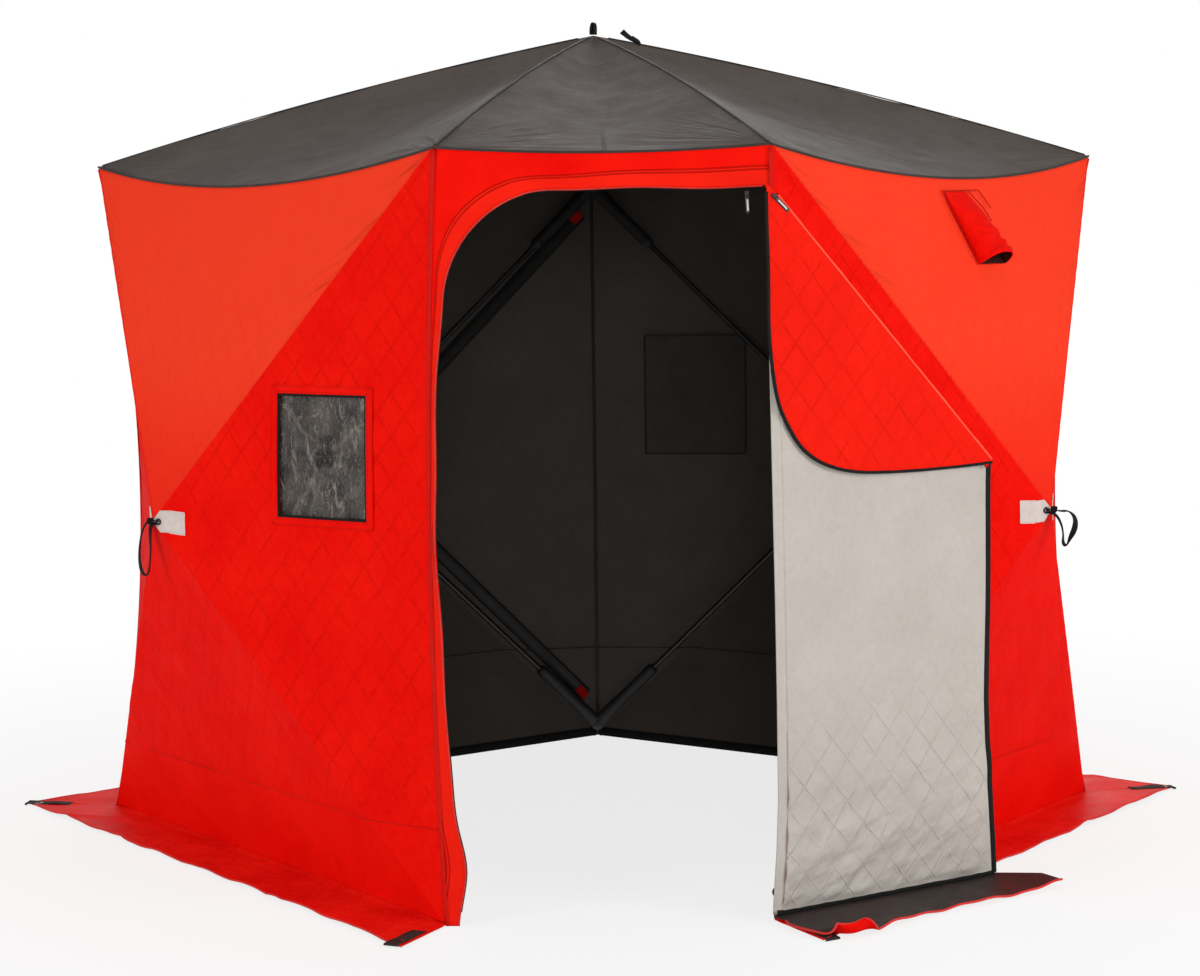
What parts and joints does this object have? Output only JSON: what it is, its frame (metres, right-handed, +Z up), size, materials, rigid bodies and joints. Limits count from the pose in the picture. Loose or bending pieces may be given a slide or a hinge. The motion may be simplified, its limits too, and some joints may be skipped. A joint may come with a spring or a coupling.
{
  "type": "ice fishing hut",
  "caption": "Pop-up ice fishing hut with popped-out quilted fabric walls, a low hub roof, snow skirts with anchor grommets and a hinged fabric door that folds back.",
  "frame": {"origin": "middle of the ground that the hut and its skirts cover, at ground level", "axes": "+Z up, the door panel faces -Y, +X to the right of someone looking at the door"},
  "size_m": [3.1008, 2.6142, 2.0646],
  "materials": {
    "shell_fabric": "quilted woven polyester, satin",
    "roof_fabric": "woven polyester, dull",
    "pale_lining": "quilted lining, satin",
    "dark_lining": "woven, dull",
    "hub_plastic": "moulded, satin",
    "pole": "fibreglass rod, satin",
    "boot": "padded sleeve",
    "black_webbing": "flat webbing",
    "dark_webbing": "flat webbing",
    "grommet": "rolled eyelet",
    "window_vinyl": "clear flexible film",
    "grey_patch": "coated reinforcement patch",
    "zip_plastic": "moulded, satin"
  },
  "bodies": {
    "hut": {"anchor_grommets": "grommet", "anchor_straps": "dark_webbing", "back_left_hub": "hub_plastic", "back_left_poles": "pole", "back_left_skirt": "shell_fabric", "back_left_wall": "shell_fabric", "back_right_hub": "hub_plastic", "back_right_poles": "pole", "back_right_skirt": "shell_fabric", "back_right_wall": "shell_fabric", "brace_straps": "black_webbing", "brace_tabs": "shell_fabric", "door_header": "shell_fabric", "front_left_hub": "hub_plastic", "front_left_poles": "pole", "front_left_skirt": "shell_fabric", "front_left_wall": "shell_fabric", "front_right_hub": "hub_plastic", "front_right_poles": "pole", "front_right_skirt": "shell_fabric", "front_right_wall": "shell_fabric", "hub_patches": "grey_patch", "left_door_jamb": "shell_fabric", "lower_corner_boots": "boot", "pull_loops": "black_webbing", "right_door_jamb": "shell_fabric", "roof_canopy": "roof_fabric", "roof_hub": "hub_plastic", "roof_poles": "pole", "roof_tabs": "black_webbing", "upper_corner_boots": "boot", "vent_hood": "shell_fabric", "window_cover": "dark_lining", "window_panes": "window_vinyl", "window_trims": "shell_fabric", "zip_pulls": "zip_plastic"},
    "door": {"door_leaf": "pale_lining", "door_skirt": "dark_lining"},
    "door_top": {"door_top_flap": "shell_fabric"}
  },
  "joints": [
    {"name": "door_swing", "type": "hinge", "parent": "hut", "child": "door", "pos_m": [0.353, -1.13738, 0.8], "axis": [0, 0, 1], "range_deg": [-213.03, 0]},
    {"name": "door_top_fold", "type": "hinge", "parent": "door", "child": "door_top", "pos_m": [0.363, -1.15092, 1.601], "axis": [-0.598, -0.3888, 0.7009], "range_deg": [0, 175]}
  ]
}
